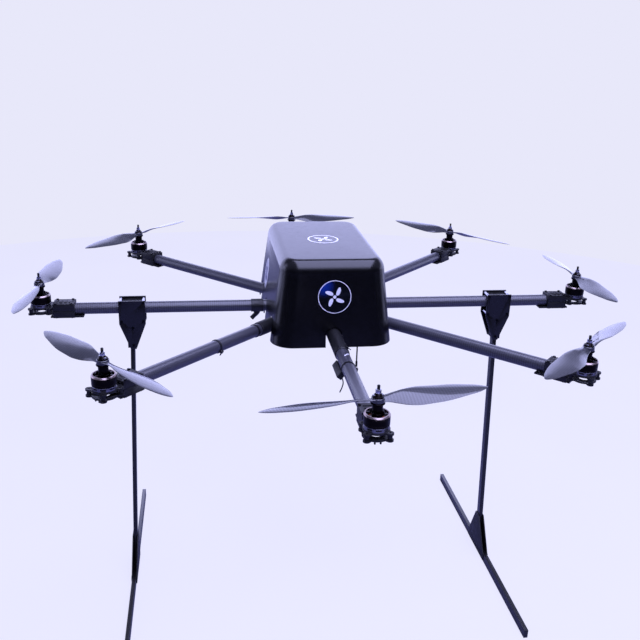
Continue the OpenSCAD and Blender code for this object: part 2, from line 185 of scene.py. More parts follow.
def paleLaminate():
    # White laminate floor: even and pale, lit by its own faint glow so that no hard shadow shows
    mat, tree, shader = surface("paleLaminate", laminate["shade"], 0.6)
    shader.inputs["Specular IOR Level"].default_value = 0.1
    where = addNode(tree, "TexCoord").outputs["Object"]
    cloud = addNode(tree, "TexNoise", {"Vector": where, "Scale": 1.5, "Detail": 2.0})
    tone = addNode(tree, "Mix", {"Factor": cloud, "A": hexColour(laminate["pale"]),
                                 "B": hexColour(laminate["paler"])}, data_type="RGBA")
    flat = addNode(tree, "Emission", {"Color": tone.outputs["Result"], "Strength": laminate["glow"]})
    shadow = addNode(tree, "BsdfDiffuse", {"Color": hexColour("#505064")})
    lit = addNode(tree, "AddShader", {0: flat, 1: shadow})
    seen = addNode(tree, "LightPath").outputs["Is Camera Ray"]
    mixed = addNode(tree, "MixShader", {0: seen, 1: shader, 2: lit})
    tree.links.new(mixed.outputs[0], tree.nodes["Material Output"].inputs["Surface"])
    return mat


def makeFloor():
    bm = bmesh.new()
    bmesh.ops.create_circle(bm, cap_ends=True, segments=128, radius=laminate["radius"])
    mesh = bpy.data.meshes.new("floor")
    bm.to_mesh(mesh)
    mesh.materials.append(paleLaminate())
    floor = bpy.data.objects.new("floor", mesh)
    bpy.context.scene.collection.objects.link(floor)


makeWorld()
makeLights()
makeFloor()
print("stage ready")


def grain(tree, size, detail=3.0):
    # Noise whose lumps are about size millimetres across
    where = addNode(tree, "TexCoord").outputs["Object"]
    return addNode(tree, "TexNoise", {"Vector": where, "Scale": 1 / (size * mm), "Detail": detail})


def relief(tree, shader, height, depth, strength=1.0):
    bump = addNode(tree, "Bump", {"Height": height, "Distance": depth * mm, "Strength": strength})
    tree.links.new(bump.outputs["Normal"], shader.inputs["Normal"])
    return bump


def varied(tree, shader, socket, factor, low, high):
    spread = addNode(tree, "MapRange", {"Value": factor, "From Min": 0.3, "From Max": 0.7,
                                        "To Min": low, "To Max": high})
    tree.links.new(spread.outputs[0], shader.inputs[socket])


def carbonTwill(name, tow, turn, warp, weft, coat, coatRoughness, bump=0.25):
    # 2x2 twill carbon cloth in clear epoxy: tows shine or darken with their lay, under a smooth coat
    mat, tree, shader = surface(name, warp, 0.4, 0.0, coat, coatRoughness)
    uv = addNode(tree, "UVMap", uv_map="lay")
    turned = addNode(tree, "Mapping", {"Vector": uv, "Rotation": (0, 0, math.radians(turn)),
                                       "Scale": (1 / (tow * mm), 1 / (tow * mm), 1)})
    across = addNode(tree, "SeparateXYZ", {0: turned})
    cellU = addNode(tree, "Math", {0: across.outputs["X"]}, operation="FLOOR")
    cellV = addNode(tree, "Math", {0: across.outputs["Y"]}, operation="FLOOR")
    diagonal = addNode(tree, "Math", {0: cellU, 1: cellV}, operation="ADD")
    step = addNode(tree, "Math", {0: diagonal, 1: 4.0}, operation="FLOORED_MODULO")
    onTop = addNode(tree, "Math", {0: step, 1: 1.5}, operation="LESS_THAN")
    roundU = addNode(tree, "Math", {0: across.outputs["X"], 1: 0.5}, operation="PINGPONG")
    roundV = addNode(tree, "Math", {0: across.outputs["Y"], 1: 0.5}, operation="PINGPONG")
    height = addNode(tree, "Mix", {"Factor": onTop, "A": roundV, "B": roundU})
    tone = addNode(tree, "Mix", {"Factor": onTop, "A": hexColour(weft), "B": hexColour(warp)},
                   data_type="RGBA")
    tree.links.new(tone.outputs["Result"], shader.inputs["Base Color"])
    gloss = addNode(tree, "MapRange", {"Value": onTop, "To Min": 0.5, "To Max": 0.36})
    tree.links.new(gloss.outputs[0], shader.inputs["Roughness"])
    relief(tree, shader, height.outputs["Result"], 0.1, bump)
    return mat


def mouldedNylon(name="mouldedNylon", colour="#0C0C0E", roughness=0.5):
    # Black glass-filled nylon from a textured mould: dull, with a fine sandy grain
    mat, tree, shader = surface(name, colour, roughness)
    relief(tree, shader, grain(tree, 0.5), 0.04)
    varied(tree, shader, "Roughness", grain(tree, 12), roughness - 0.08, roughness + 0.08)
    return mat


def formedAbs():
    # Black ABS sheet, vacuum-formed: a soft gloss with faint long waves from the forming and fine dust
    mat, tree, shader = surface("formedAbs", "#050507", 0.15, ior=1.52)
    wave = grain(tree, 28, 1.0)
    peel = grain(tree, 2.5, 2.0)
    height = addNode(tree, "Mix", {"Factor": 0.1, "A": wave.outputs[0], "B": peel.outputs[0]})
    relief(tree, shader, height.outputs["Result"], 0.3, 0.3)
    varied(tree, shader, "Roughness", grain(tree, 9, 4.0), 0.2, 0.25)
    return mat


def metal(name, colour, roughness, markSize=0.4, depth=0.01):
    # Turned or milled metal: fine tool marks that spread the highlight
    mat, tree, shader = surface(name, colour, roughness, 1.0)
    marks = grain(tree, markSize, 2.0)
    relief(tree, shader, marks, depth)
    varied(tree, shader, "Roughness", marks, roughness - 0.06, roughness + 0.08)
    return mat


def enamelledCopper():
    # Varnished magnet wire wound in close turns 0.8 mm across: warm glossy ridges, with painted shade in the
    # grooves between the turns and a painted highlight on their crests
    mat, tree, shader = surface("enamelledCopper", "#B9592B", 0.3, 1.0, 0.6, 0.1)
    uv = addNode(tree, "UVMap", uv_map="lay")
    across = addNode(tree, "SeparateXYZ", {0: uv})
    turns = addNode(tree, "Math", {0: across.outputs["X"], 1: 1 / (0.8 * mm)}, operation="MULTIPLY")
    ridge = addNode(tree, "Math", {0: turns, 1: 0.5}, operation="PINGPONG")
    relief(tree, shader, ridge, 0.4, 0.8)
    # Painted shade and highlight: the colour runs from dark in the grooves to light on the crests
    tone = addNode(tree, "Mix", {"Factor": ridge, "A": hexColour("#5A2410"), "B": hexColour("#D9743C")},
                   data_type="RGBA")
    tree.links.new(tone.outputs["Result"], shader.inputs["Base Color"])
    return mat


def laminatedSteel():
    # Stack of varnished electrical steel sheets: dark grey edges, drawn 0.7 mm thick so that they show
    mat, tree, shader = surface("laminatedSteel", "#3C3C42", 0.45, 0.9)
    where = addNode(tree, "TexCoord").outputs["Object"]
    height = addNode(tree, "SeparateXYZ", {0: where})
    sheets = addNode(tree, "Math", {0: height.outputs["Z"], 1: 1 / (0.7 * mm)}, operation="MULTIPLY")
    edge = addNode(tree, "Math", {0: sheets, 1: 0.5}, operation="PINGPONG")
    relief(tree, shader, edge, 0.1, 0.6)
    return mat


def shrinkSleeve(name="shrinkSleeve", colour="#111114", roughness=0.42):
    # Polyolefin heat-shrink sleeve: soft satin black that wrinkles slightly over what it holds
    mat, tree, shader = surface(name, colour, roughness)
    relief(tree, shader, grain(tree, 4, 2.0), 0.3, 0.5)
    varied(tree, shader, "Roughness", grain(tree, 7), roughness - 0.06, roughness + 0.1)
    return mat


def wovenStrap(name, colour, rib=1.2):
    # Nylon webbing: tight ribs across the strap with a soft dull sheen
    mat, tree, shader = surface(name, colour, 0.85)
    shader.inputs["Sheen Weight"].default_value = 0.4
    uv = addNode(tree, "UVMap", uv_map="lay")
    split = addNode(tree, "SeparateXYZ", {0: uv})
    ribs = []
    for axis in ("X", "Y"):
        scaled = addNode(tree, "Math", {0: split.outputs[axis], 1: 1 / (rib * mm)}, operation="MULTIPLY")
        ribs.append(addNode(tree, "Math", {0: scaled, 1: 0.5}, operation="PINGPONG"))
    height = addNode(tree, "Math", {0: ribs[0], 1: ribs[1]}, operation="ADD")
    relief(tree, shader, height, 0.3, 0.8)
    return mat


def printedBoard():
    # Glass-epoxy board under green solder mask: satin, with raised copper tracks below the mask
    mat, tree, shader = surface("printedBoard", "#0F4A26", 0.35)
    where = addNode(tree, "TexCoord").outputs["Object"]
    tracks = addNode(tree, "TexBrick", {"Vector": where, "Scale": 1 / (9 * mm), "Mortar Size": 0.06,
                                        "Color1": hexColour("#0E4423"), "Color2": hexColour("#11522B"),
                                        "Mortar": hexColour("#2C8A4C")})
    tree.links.new(tracks.outputs["Color"], shader.inputs["Base Color"])
    relief(tree, shader, tracks.outputs["Fac"], 0.05, 0.6)
    return mat


def shrinkFilm():
    # Printed PVC battery film: glossy deep blue, pulled into long faint wrinkles, with painted shade in the
    # wrinkles' dips and a painted highlight on their crests
    mat, tree, shader = surface("shrinkFilm", "#1C2F7A", 0.22, coat=0.4, coatRoughness=0.08)
    where = addNode(tree, "TexCoord").outputs["Object"]
    pulled = addNode(tree, "Mapping", {"Vector": where, "Scale": (1.0, 0.2, 1.0)})
    wrinkles = addNode(tree, "TexNoise", {"Vector": pulled, "Scale": 1 / (14 * mm), "Detail": 2.0})
    relief(tree, shader, wrinkles, 0.8, 0.5)
    # Painted shade and highlight: the blue follows the wrinkles' height, darker in the dips and lighter on the
    # crests
    tone = addNode(tree, "Mix", {"Factor": wrinkles, "A": hexColour("#162563"), "B": hexColour("#233A90")},
                   data_type="RGBA")
    tree.links.new(tone.outputs["Result"], shader.inputs["Base Color"])
    return mat


def printedInk(name, colour, roughness=0.25):
    # Vinyl decal ink under a clear film: flat colour, gently uneven gloss
    mat, tree, shader = surface(name, colour, roughness, coat=0.5, coatRoughness=0.06)
    varied(tree, shader, "Roughness", grain(tree, 3), roughness - 0.06, roughness + 0.06)
    return mat


# Painted blue glow on the navy ink: the ink and glow colours, the glow's centre, and where it fades, in mm
paintedGlow = {"ink": "#04060D", "blue": "#0D2E86", "at": (-0.022, -0.187, 0.783), "from": 4, "to": 26}


def inkWithPaintedGlow():
    # Near-black vinyl ink with a painted blue glow, strongest at a point by the front badge's upper left and
    # fading out between 4 and 26 mm from it
    mat, tree, shader = surface("navyPaintedGlowInk", paintedGlow["ink"], 0.18, coat=0.5, coatRoughness=0.06)
    where = addNode(tree, "TexCoord").outputs["Object"]
    away = addNode(tree, "VectorMath", {0: where, 1: paintedGlow["at"]}, operation="DISTANCE")
    blue = addNode(tree, "MapRange", {"Value": away.outputs["Value"], "From Min": paintedGlow["from"] * mm,
                                      "From Max": paintedGlow["to"] * mm, "To Min": 1.0, "To Max": 0.0},
                   interpolation_type="SMOOTHSTEP")
    # Mixes the painted blue glow into the ink near that point
    tone = addNode(tree, "Mix", {"Factor": blue, "A": hexColour(paintedGlow["ink"]),
                                 "B": hexColour(paintedGlow["blue"])}, data_type="RGBA")
    tree.links.new(tone.outputs["Result"], shader.inputs["Base Color"])
    return mat


weaveTube = carbonTwill("carbonTubeTwill", 1.6, 45, "#3D3D48", "#26262D", 0.8, 0.3, 0.1)
weaveBlade = carbonTwill("carbonBladeTwill", 1.8, 45, "#2D2E35", "#202126", 1.0, 0.1, 0.05)
weavePlate = carbonTwill("carbonPlateTwill", 2.5, 0, "#111114", "#060608", 0.35, 0.25)
weaveBar = carbonTwill("carbonBarTwill", 2.5, 45, "#0A0A0D", "#040405", 0.4, 0.2)
nylon = mouldedNylon()
tieNylon = mouldedNylon("tieNylon", "#08080A", 0.38)
rubber = mouldedNylon("mouldedRubber", "#101011", 0.75)
canopyAbs = formedAbs()
aluminium = metal("machinedAluminium", "#D2D2D8", 0.26)
rimAlloy = metal("turnedRimAluminium", "#A0918C", 0.3)
baseAlloy = metal("baseRingAluminium", "#8C8C93", 0.32)
blackAlloy = metal("anodisedAluminium", "#1B1817", 0.32)
zincSteel = metal("zincPlatedSteel", "#C4C5CC", 0.24)
blackSteel = metal("blackOxideSteel", "#1C1C20", 0.36)
nickel = metal("nickelPlatedMagnet", "#9C9CA4", 0.3)
brass = metal("goldPlatedBrass", "#D9A441", 0.25)
copper = enamelledCopper()
steelStack = laminatedSteel()
sleeveSkin = shrinkSleeve()
moduleSkin = shrinkSleeve("moduleSleeve", "#060607", 0.5)
strapWeb = wovenStrap("nylonWebbing", "#101013")
boardGreen = printedBoard()
batteryFilm = shrinkFilm()
whiteAbs = mouldedNylon("whiteAbs", "#E8E8EA", 0.3)
whiteInk = printedInk("whiteInk", "#F2F2FA")
navyPaintedGlowInk = inkWithPaintedGlow()
yellowNylon = mouldedNylon("yellowNylon", "#D9A514", 0.4)
capacitorSleeve = shrinkSleeve("capacitorSleeve", "#20242E", 0.3)
cheekPlate = mouldedNylon("cheekPlateNylon", "#050506", 0.32)
print("materials ready:", len(bpy.data.materials))


def soften(bm, width, segments=2, angle=28):
    limit = math.radians(angle)
    edges = [e for e in bm.edges if len(e.link_faces) == 2 and e.calc_face_angle(0) > limit]
    if edges:
        bmesh.ops.bevel(bm, geom=edges, offset=width, offset_type="OFFSET", segments=segments, profile=0.5,
                        affect="EDGES", clamp_overlap=True, material=-1)


def moved(bm, matrix):
    bmesh.ops.transform(bm, matrix=matrix, verts=bm.verts)
    if matrix.determinant() < 0:
        bmesh.ops.reverse_faces(bm, faces=bm.faces)
    return bm


def block(low, high, round=0.0, segments=2):
    bm = bmesh.new()
    bmesh.ops.create_cube(bm, size=1)
    low, high = Vector(low), Vector(high)
    size = high - low
    moved(bm, Matrix.Translation((low + high) / 2) @ Matrix.Diagonal((*size, 1)))
    if round:
        soften(bm, round, segments)
    return bm


def rod(radius, low, high, sides=24, round=0.0, topRadius=None):
    bm = bmesh.new()
    bmesh.ops.create_cone(bm, cap_ends=True, segments=sides, radius1=radius,
                          radius2=radius if topRadius is None else topRadius, depth=high - low)
    moved(bm, Matrix.Translation((0, 0, (low + high) / 2)))
    if round:
        soften(bm, round)
    return bm


def spun(profile, steps=64):
    # Turns a closed (radius, height) outline round Z; one that meets the axis is left open there
    bm = bmesh.new()
    points = [bm.verts.new((r, 0, z)) for r, z in profile]
    onAxis = profile[0][0] == 0 and profile[-1][0] == 0
    after = points[1:] if onAxis else points[1:] + points[:1]
    edges = [bm.edges.new(pair) for pair in zip(points, after)]
    bmesh.ops.spin(bm, geom=points + edges, cent=(0, 0, 0), axis=(0, 0, 1), angle=2 * math.pi,
                   steps=steps, use_merge=True)
    bmesh.ops.remove_doubles(bm, verts=bm.verts, dist=1e-4)
    bmesh.ops.recalc_face_normals(bm, faces=bm.faces)
    return bm


def joined(parts):
    # Several meshes as one; a pair (mesh, number) takes that material number
    whole = bmesh.new()
    for part in parts:
        bm, number = part if isinstance(part, tuple) else (part, 0)
        for face in bm.faces:
            face.material_index = number
        mesh = bpy.data.meshes.new("part")
        bm.to_mesh(mesh)
        bm.free()
        whole.from_mesh(mesh)
        bpy.data.meshes.remove(mesh)
    return whole


def pointsOf(geom):
    return [g for g in geom if isinstance(g, bmesh.types.BMVert)]


def ringOf(make, count, start=0.0):
    return [moved(make(), turnZ(start + 360 * k / count)) for k in range(count)]


def besideTube(bm, arm, at=0.0, turn=0.0):
    # Moves a piece made along +X out on the arm, turned about the tube
    along = Matrix.Translation((at * mm, 0, 0)) @ Matrix.Rotation(math.radians(turn), 4, "X")
    return moved(bm, Matrix.Scale(1 / mm, 4) @ onArm(arm) @ along @ Matrix.Scale(mm, 4))


def onTube(bm, arm, at, turn=0.0):
    # Stands a piece made round Z on the tube's axis
    return besideTube(moved(bm, Matrix.Rotation(math.radians(90), 4, "Y")), arm, at, turn)


def layUv(bm, lay=None):
    # The "lay" map runs in metres: along and round the piece, or flat on each face's main direction
    uv = bm.loops.layers.uv.new("lay")
    for face in bm.faces:
        n = [abs(c) for c in face.normal]
        main = n.index(max(n))
        for loop in face.loops:
            p = loop.vert.co
            flat = (p[(main + 1) % 3], p[(main + 2) % 3]) if lay is None else lay(p, face)
            loop[uv].uv = (flat[0] * mm, flat[1] * mm)


def makePiece(name, bm, materials, body, slot, replaced=(), place=None, crease=32, lay=None):
    if not bm.loops.layers.uv.get("lay"):
        layUv(bm, lay)
    moved(bm, (place or Matrix.Identity(4)) @ Matrix.Scale(mm, 4))
    mesh = bpy.data.meshes.new(name)
    bm.to_mesh(mesh)
    bm.free()
    for material in materials:
        mesh.materials.append(material)
    mesh.shade_smooth()
    mesh.set_sharp_from_angle(angle=math.radians(crease))
    piece = bpy.data.objects.new(name, mesh)
    bpy.context.scene.collection.objects.link(piece)
    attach(piece, body)
    if replaced:
        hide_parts(*replaced)
    return piece


def islands(bm):
    left = set(bm.faces)
    while left:
        found = [left.pop()]
        for face in found:
            near = {other for edge in face.edges for other in edge.link_faces} & left
            left -= near
            found.extend(near)
        yield found


def softCopy(name, width, pick=None):
    # A CAD node's copy with its edges rounded; pick(low, high) gives each solid's material number
    bm = bmesh.new()
    bm.from_mesh(frame["nodes"][name].data)
    moved(bm, Matrix.Scale(1 / mm, 4))
    bmesh.ops.remove_doubles(bm, verts=bm.verts, dist=0.001)
    bmesh.ops.dissolve_limit(bm, angle_limit=math.radians(0.5), verts=bm.verts, edges=bm.edges)
    for faces in islands(bm) if pick else ():
        corners = [v.co for face in faces for v in face.verts]
        low = Vector([min(c[k] for c in corners) for k in range(3)])
        high = Vector([max(c[k] for c in corners) for k in range(3)])
        number = pick(low, high)
        for face in faces:
            face.material_index = number
    soften(bm, width)
    return bm


# Sizes in millimetres from the rotor's axis and the arm's centre line; the pitch is per turn
blade = {"tip": 189.0, "root": 7.0, "chord": 40.0, "pitch": 152.0, "rake": 6.0, "round": 0.84,
         "thick": 2.2, "camber": 0.05, "hubRadius": 10.5, "hubLow": 52.0, "hubHigh": 60.0, "bore": 2.6}


def ease(t, a, b):
    s = min(1.0, max(0.0, (t - a) / (b - a)))
    return s * s * (3 - 2 * s)


def bladePoint(share, around):
    # share runs 0 to 1 from root to tip; around is 0 at the leading and 180 degrees at the trailing edge
    c = math.cos(around)
    closing = max(0.0, 1 - max(0.0, (share - blade["round"]) / (1 - blade["round"])) ** 2) ** 0.64
    reach = blade["tip"] - blade["rake"] * (1 - c * closing) / 2 * ease(share, 0.8, 1)
    r = blade["root"] + (reach - blade["root"]) * share
    t = r / blade["tip"]
    lead = 0.22 + 0.27 * ease(t, 0.05, 0.40) - 0.21 * ease(t, 0.64, 1.02)
    trail = -0.20 - 0.33 * ease(t, 0.05, 0.38) + 0.38 * ease(t, 0.50, 1.02)
    half = (lead - trail) / 2 * blade["chord"] * closing
    y = (lead + trail) / 2 * blade["chord"] + c * half
    bulge = blade["camber"] * 2 * half * (1 - c * c)
    thick = (blade["thick"] - 1.55 * ease(t, 0.05, 0.9)) * closing * (0.75 + 0.25 * c)
    z = bulge + thick * math.sin(around)
    w = min(math.radians(30), math.atan(blade["pitch"] / (2 * math.pi * r)))
    w *= 0.55 + 0.45 * ease(r, 10, 30)
    return Vector((r, y * math.cos(w) - z * math.sin(w), y * math.sin(w) + z * math.cos(w)))


def makeBlade():
    # A sphere's rings become the blade's sections, and its poles close the root and the tip
    bm = bmesh.new()
    bmesh.ops.create_uvsphere(bm, u_segments=32, v_segments=56, radius=1)
    for v in bm.verts:
        v.co = bladePoint((1 - v.co.z) / 2, math.atan2(v.co.y, v.co.x))
    bmesh.ops.recalc_face_normals(bm, faces=bm.faces)
    return bm


def makePropeller():
    middle = (blade["hubLow"] + blade["hubHigh"]) / 2
    parts = [moved(makeBlade(), Matrix.Translation((0, 0, middle)) @ turnZ(turn)) for turn in (0, 180)]
    low, high, r = blade["hubLow"], blade["hubHigh"], blade["hubRadius"]
    hub = [(blade["bore"], low), (r - 0.8, low), (r, low + 0.8), (r, high - 0.8), (r - 0.8, high),
           (blade["bore"], high)]
    return joined(parts + [spun(hub, 48)])


def addPropellers():
    shape = makePropeller()
    layUv(shape, lambda p, face: (p.x, p.y))
    flip = Matrix.Diagonal((1, -1, 1, 1))
    for arm, joint in rotorJoints.items():
        bm = shape.copy()
        if joint["axis"][2] < 0:
            moved(bm, flip)
        makePiece("carbonPropeller_" + arm, bm, [weaveBlade], "rotor_" + arm, "carbon_propeller",
                  ["propeller_" + arm], onRotor(arm), 40)
    shape.free()


addPropellers()
print("propellers ready")

# Heights are above the arm's centre line
motor = {"bell": 21.0, "wall": 1.8, "low": 15.5, "top": 34.0, "seat": 8.0,
         "spokes": 6, "teeth": 12, "magnets": 14}


def motorSpoke():
    bm = block((7.5, -2.4, 31.6), (18.4, 2.4, 33.8))
    for v in bm.verts:
        if v.co.x > 12:
            v.co.y *= 1.25
            v.co.z -= 0.5
    soften(bm, 0.4)
    return bm


def motorBell():
    # The can has a shallow groove near each end; spokes join it to the hub, and magnets line it
    b, low, top = motor["bell"], motor["low"], motor["top"]
    groove = b - 0.25
    can = [(b - motor["wall"], low), (b - 0.3, low), (b, low + 0.3), (b, 18.2), (groove, 18.4),
           (groove, 18.9), (b, 19.1), (b, 28.6), (groove, 28.8), (groove, 29.3), (b, 29.5), (b, 31.3),
           (b - motor["wall"], 31.3)]
    hub = [(2.6, 30.6), (8.6, 30.6), (9.2, 31.2), (9.2, 33.6), (8.8, top), (2.6, top)]
    rim = [(b - 1.9, 31.35), (b - 0.05, 31.35), (b - 1.5, 33.8), (b - 1.8, top), (b - 3.4, top),
           (b - 3.6, 33.6), (b - 3.6, 32.2)]
    magnets = ringOf(lambda: block((17.4, -3.3, 17), (18.9, 3.3, 29.4), 0.3), motor["magnets"])
    return joined([spun(can), spun(hub, 48), (spun(rim), 1)] + ringOf(motorSpoke, motor["spokes"], 30)
                  + [(magnet, 2) for magnet in magnets])


def capScrew(x, low, high, radius):
    # Cap head with a socket sunk in it
    socket = radius * 0.5
    depth = (high - low) * 0.55
    bm = rod(radius, low, high, 20, 0.25)
    top = max(bm.faces, key=lambda f: (round(f.calc_center_median().z, 3), f.calc_area()))
    bmesh.ops.inset_individual(bm, faces=[top], thickness=radius - socket - 0.25, depth=0)
    pushed = bmesh.ops.extrude_discrete_faces(bm, faces=[top])["faces"]
    bmesh.ops.translate(bm, vec=(0, 0, -depth), verts=list({v for f in pushed for v in f.verts}))
    return moved(bm, Matrix.Translation((x, 0, 0)))


def propAdapter():
    # Cross-footed adapter, the cover over the propeller, two screws, the nut and the threaded end
    body = [(2.6, 35.4), (8.0, 35.4), (8.5, 35.9), (8.5, 47.6), (11.0, 49.4), (11.5, 49.9), (11.5, 51.5),
            (11.1, 51.9), (2.6, 51.9)]
    cover = [(2.6, 60.1), (8.6, 60.1), (9.0, 60.5), (9.0, 62.0), (8.6, 62.5), (7.2, 62.6), (4.9, 66.6),
             (4.5, 66.9), (2.6, 66.9)]
    foot = lambda: joined([block((0, -2.6, 34.1), (10, 2.6, 36.5), 0.4),
                           moved(rod(2.6, 34.1, 36.5, 20, 0.4), Matrix.Translation((10, 0, 0)))])
    thread = [(0, 60.0), (2.5, 60.0)]
    thread += [(2.5 if k % 2 else 2.15, 66.0 + 0.45 * k) for k in range(30)]
    thread += [(2.1, 79.6), (1.7, 80.0), (0, 80.0)]
    nut = rod(4.7, 67.0, 73.0, 6, 0.5)
    washer = [(2.6, 66.92), (4.6, 66.92), (4.6, 67.3), (2.6, 67.3)]
    parts = [spun(body, 48), spun(cover, 48)] + [moved(foot(), turnZ(90 * k + 45)) for k in range(4)]
    parts += [(spun(thread, 24), 2), (nut, 1), (spun(washer, 32), 1)]
    parts += [(moved(capScrew(10, 36.5, 38.6, 1.9), turnZ(90 * k + 45)), 2) for k in range(4)]
    parts += [(capScrew(x, 62.0, 64.6, 2.6), 1) for x in (-6, 6)]
    parts += [(rod(2.4, 16.0, 60.0, 20), 1)]
    return joined(parts)


def motorStator():
    b, s = motor["bell"] - 0.5, motor["seat"]
    foot = [(4.6, s), (b, s), (b, s + 2.9), (b - 0.4, s + 3.1), (b - 3.2, s + 3.1), (b - 3.4, s + 2),
            (6, s + 2), (6, 28.8), (4.6, 28.8)]
    rim = [(b - 3.2, s + 5.7), (b, s + 5.7), (b, s + 6.7), (b - 0.3, s + 7), (b - 3.2, s + 7)]
    post = lambda: block((b - 3.1, -3.1, s + 3.0), (b - 0.15, 3.1, s + 5.8), 0.3)
    tooth = lambda: joined([block((7.2, -1.5, 18.2), (15.2, 1.5, 28.4), 0.3),
                            block((15.0, -3.6, 18.2), (16.9, 3.6, 28.4), 0.4)])
    parts = [(spun(foot), 0), (spun(rim), 0)] + ringOf(post, 8, 22.5)
    parts += [(t, 1) for t in ringOf(tooth, motor["teeth"])]
    return joined(parts)


def motorCoils():
    coil = lambda: block((8.2, -2.7, 16.8), (14.4, 2.7, 30.0), 1.6, 4)
    parts = []
    for k in range(motor["teeth"]):
        bm = coil()
        layUv(bm, lambda p, face: (p.x, p.z))
        parts.append(moved(bm, turnZ(30 * k)))
    return joined(parts)


def bearingRings():
    parts = []
    for low in (motor["seat"] + 1, motor["top"] - 9):
        parts.append(spun([(2.6, low), (4.4, low), (4.4, low + 4), (2.6, low + 4)], 32))
    return joined(parts)


def addMotors():
    bell, adapter, stator = motorBell(), propAdapter(), motorStator()
    coils, bearings = motorCoils(), bearingRings()
    for arm in rotorJoints:
        rotor = "rotor_" + arm
        turning = onRotor(arm)
        still = onArm(arm, armReach)
        makePiece("motorBell_" + arm, bell.copy(), [blackAlloy, rimAlloy, nickel], rotor,
                  "anodised_aluminium", ["motor_bell_" + arm], turning)
        makePiece("propAdapter_" + arm, adapter.copy(), [blackAlloy, zincSteel, blackSteel], rotor,
                  "anodised_aluminium", (), turning)
        makePiece("motorBase_" + arm, stator.copy(), [baseAlloy, steelStack], "airframe",
                  "machined_aluminium", ["motor_stator_" + arm], still)
        makePiece("motorCoils_" + arm, coils.copy(), [copper], "airframe", "machined_aluminium", (),
                  still, 60)
        makePiece("motorBearings_" + arm, bearings.copy(), [zincSteel], "airframe", "steel_screws", (),
                  still)
        makePiece("motorMount_" + arm, softCopy("motor_mount_" + arm, 0.5), [nylon], "airframe",
                  "moulded_nylon", ["motor_mount_" + arm])


addMotors()
print("motors ready")

# Where a tube starts and ends, from the airframe's centre
tube = {"from": 40.0, "to": 570.0, "wall": 1.5, "sides": 72}


def addTubes():
    start, end, bore = tube["from"], tube["to"], tubeRadius - tube["wall"]
    for arm in rotorJoints:
        bm = spun([(tubeRadius, start), (tubeRadius, end), (bore, end), (bore, start)], tube["sides"])
        layUv(bm, tubeLay)
        moved(bm, Matrix.Rotation(math.radians(90), 4, "Y"))
        makePiece("carbonTube_" + arm, bm, [weaveTube], "airframe", "carbon_tube",
                  ["arm_tube_" + arm], onArm(arm))


def tubeLay(p, face):
    # Along the tube and round it; the seam's last strip runs on past a full turn
    centre = face.calc_center_median()
    turn = math.atan2(p.y, p.x)
    middle = math.atan2(centre.y, centre.x)
    if turn - middle > math.pi:
        turn -= 2 * math.pi
    if middle - turn > math.pi:
        turn += 2 * math.pi
    return p.z, turn * tubeRadius


addTubes()
print("arm tubes ready")

# Rolls are the radii of the edge round the top, lean is how far each wall leans in over its height
shell = {"wall": 2.2, "cornerSteps": 12, "sideSteps": 14, "endSteps": 10, "slotRadius": 16.5,
         "crown": 0.8, "bow": 0.8, "lean": 18.0, "topRoll": 16.0, "sideRoll": 31.0, "rollSplit": 45.0,
         "lowCorner": 45, "topCorner": 40}
canopyLow, canopyHigh = [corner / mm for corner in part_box("canopy")]
halfWide, halfLong = canopyHigh.x, canopyHigh.y
split = math.radians(shell["rollSplit"])  # the edge rolls over in two arcs, which meet at this angle
sideDrop = shell["sideRoll"] * math.cos(split)
rollDrop = sideDrop + shell["topRoll"] * (1 - math.cos(split))
rollIn = shell["sideRoll"] * (1 - math.sin(split)) + shell["topRoll"] * math.sin(split)
rollStart = canopyHigh.z - rollDrop


def canopyOutline(wide, long, corner, bow):
    # Rounded rectangle with gently bowed sides, anticlockwise from the front right corner
    steps, points = shell["cornerSteps"], []
    for k, (sx, sy) in enumerate(((1, -1), (1, 1), (-1, 1), (-1, -1))):
        cx, cy = sx * (wide - corner), sy * (long - corner)
        for j in range(steps + 1):
            a = math.radians(-90 + 90 * k + 90 * j / steps)
            points.append(Vector((cx + corner * math.cos(a), cy + corner * math.sin(a), 0)))
        nx, ny = ((1, 1), (-1, 1), (-1, -1), (1, -1))[k]
        alongSide = k % 2 == 0
        goX = nx * (wide if alongSide else wide - corner)
        goY = ny * (long - corner if alongSide else long)
        start, end = points[-1].copy(), Vector((goX, goY, 0))
        count = shell["sideSteps" if alongSide else "endSteps"]
        out = Vector((math.cos(math.radians(90 * k)), math.sin(math.radians(90 * k)), 0))
        for j in range(1, count):
            s = j / count
            points.append(start.lerp(end, s) + out * bow * 4 * s * (1 - s))
    return points


def canopyLevels():
    # Each level: half width, half length, corner radius, height and bow
    lean, crown = shell["lean"], shell["crown"]
    lowCorner, topCorner = shell["lowCorner"], shell["topCorner"]
    wallTop = rollStart - crown
    for k in range(9):
        s = k / 8
        height = canopyLow.z + (wallTop - canopyLow.z) * s
        bow = shell["bow"] * math.sin(math.pi * min(1.0, 0.15 + 0.85 * s))
        corner = lowCorner + (topCorner - lowCorner) * s
        yield halfWide - lean * s, halfLong - lean * s, corner, height, bow
    for k in range(1, 17):
        a = math.radians(90) * (1 - k / 16)
        if a > split:
            back = shell["sideRoll"] * (1 - math.sin(a))
            rise = shell["sideRoll"] * math.cos(a)
        else:
            back = rollIn - shell["topRoll"] * math.sin(a)
            rise = rollDrop - shell["topRoll"] * (1 - math.cos(a))
        yield halfWide - lean - back, halfLong - lean - back, topCorner - back, wallTop + rise, 0.0
    flatWide, flatLong = halfWide - lean - rollIn, halfLong - lean - rollIn
    flatCorner = topCorner - rollIn
    for s in (0.94, 0.85, 0.72, 0.55, 0.35, 0.15):
        yield flatWide * s, flatLong * s, flatCorner * s, canopyHigh.z - crown * s * s, 0.0


